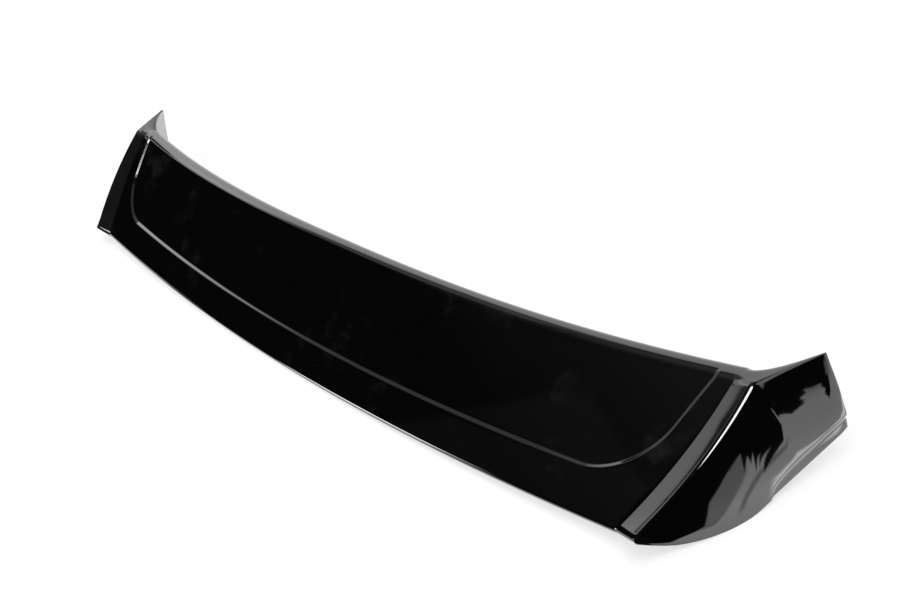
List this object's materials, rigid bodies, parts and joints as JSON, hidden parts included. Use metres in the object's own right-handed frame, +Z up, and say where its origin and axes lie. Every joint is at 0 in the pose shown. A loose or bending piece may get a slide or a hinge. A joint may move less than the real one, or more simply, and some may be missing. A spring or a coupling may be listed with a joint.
{
  "type": "roof spoiler",
  "caption": "Wide thin moulded hatch spoiler: sloping deck with a sunk centre field, a rolled front edge, a thin rear lip and an ear wrapping down at each end.",
  "frame": {"origin": "middle of the overall box's floor, on the plane the part lies on", "axes": "+X across the car along the part's longest extent, +Y forward from the rear lip to the rolled edge, +Z up from the surface it lies on"},
  "size_m": [1.247, 0.2282, 0.0989],
  "materials": {
    "painted_shell": "gloss"
  },
  "bodies": {
    "root": {"spoiler_shell": "painted_shell"}
  },
  "joints": []
}
